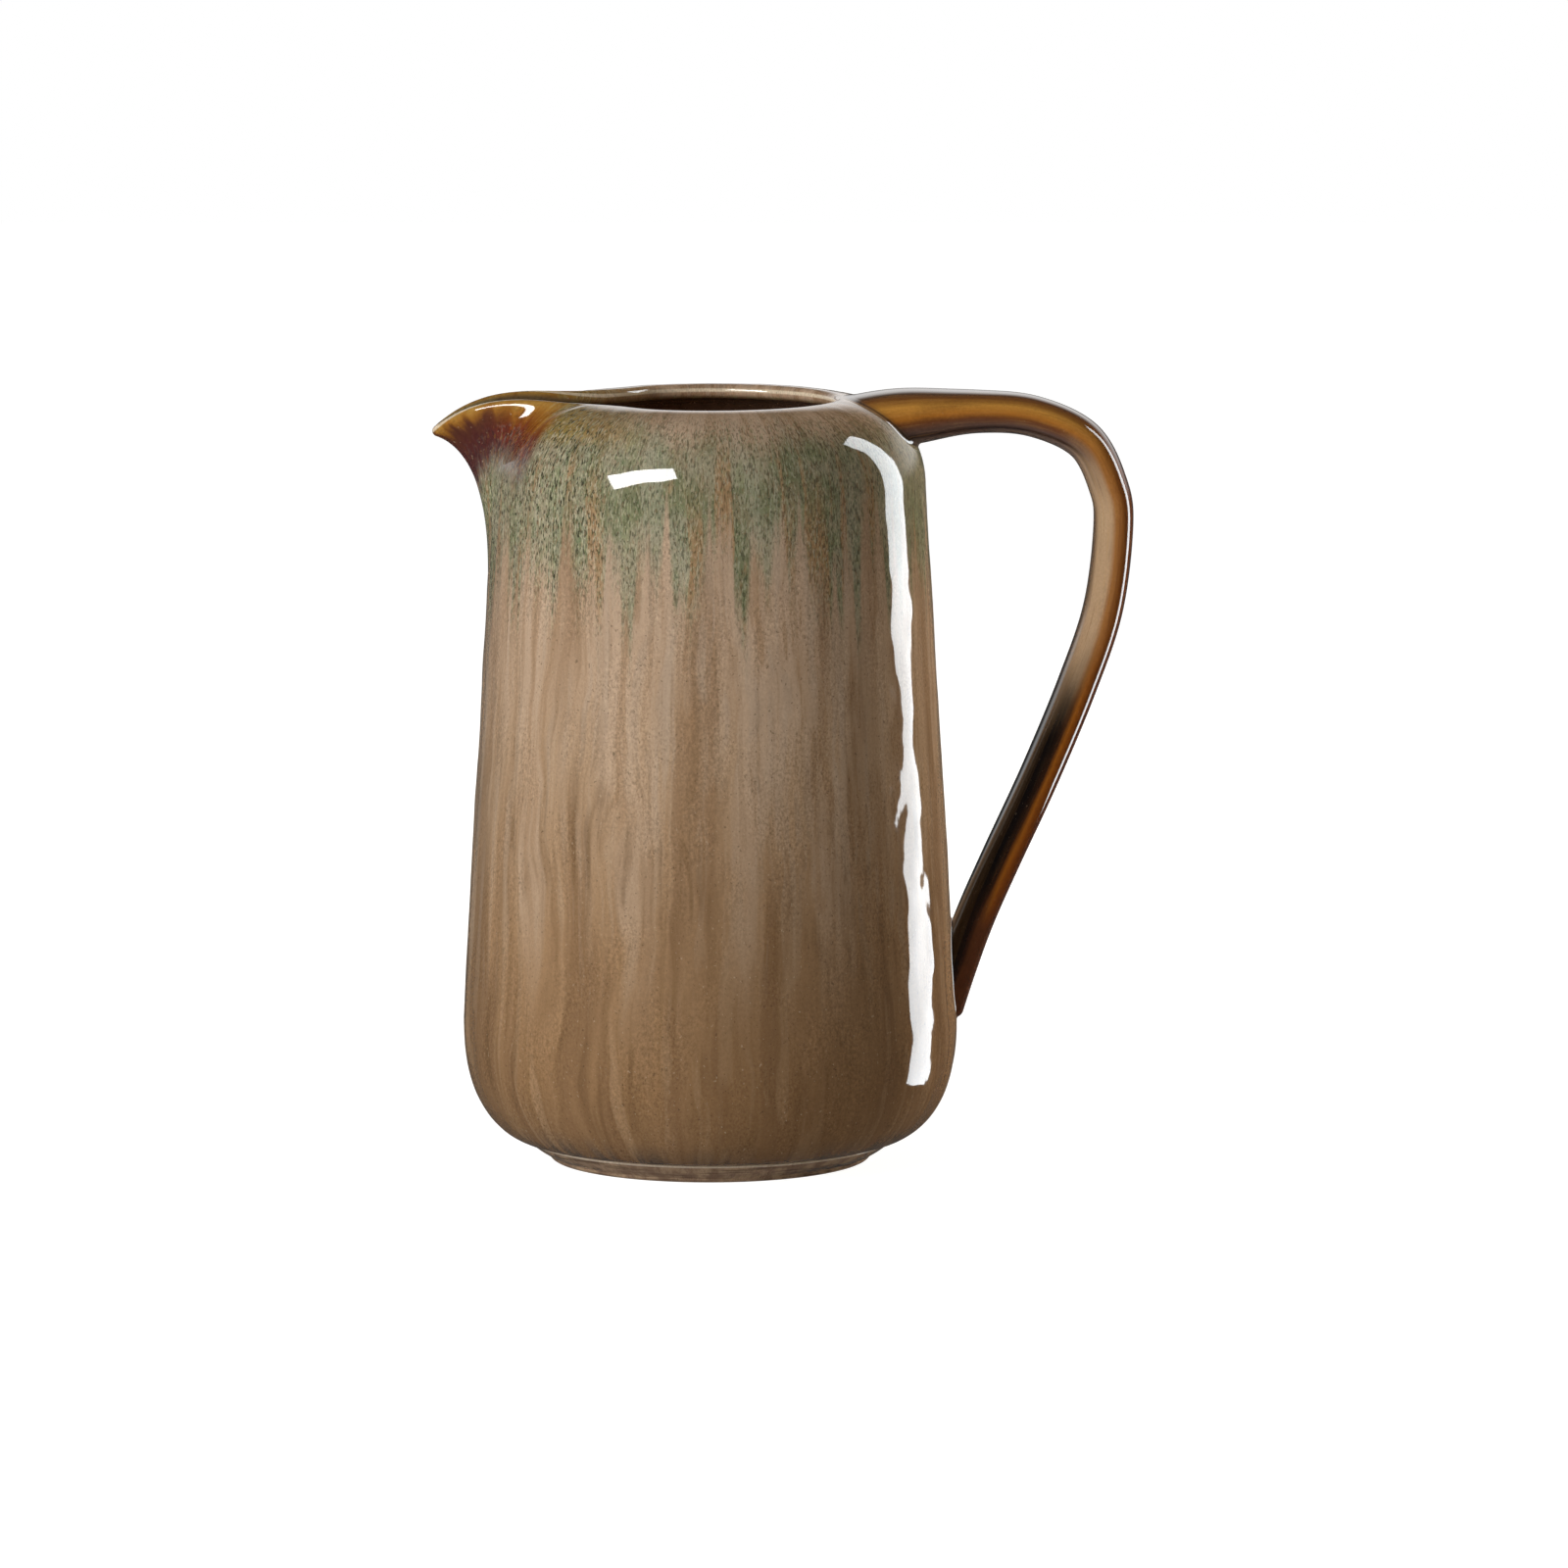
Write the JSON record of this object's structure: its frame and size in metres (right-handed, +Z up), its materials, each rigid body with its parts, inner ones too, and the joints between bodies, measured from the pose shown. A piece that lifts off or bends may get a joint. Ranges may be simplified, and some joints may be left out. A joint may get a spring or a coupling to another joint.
{
  "type": "stoneware jug",
  "caption": "Wheel-thrown glazed stoneware jug with a domed shoulder, drawn pouring lip, strap handle and turned foot ring, for pouring drinks or holding flowers.",
  "frame": {"origin": "centre of the foot ring's standing edge, on the axis of the thrown body", "axes": "+Z up along the axis of the thrown body, the pouring lip towards -X, the handle towards +X"},
  "size_m": [0.1902, 0.135, 0.2102],
  "materials": {
    "body_glaze": "glossy tan reactive glaze with soft vertical runs, a grey-green speckled band below the rim and an amber lip",
    "foot_glaze": "thin grey-brown glaze over stoneware, wiped bare on the standing edge",
    "handle_glaze": "glossy amber-brown glaze that breaks to pale green and violet on the edges"
  },
  "bodies": {
    "root": {"body": "body_glaze", "foot_ring": "foot_glaze", "handle": "handle_glaze", "upper_slip_joint": "handle_glaze", "lower_slip_joint": "handle_glaze"}
  },
  "joints": []
}
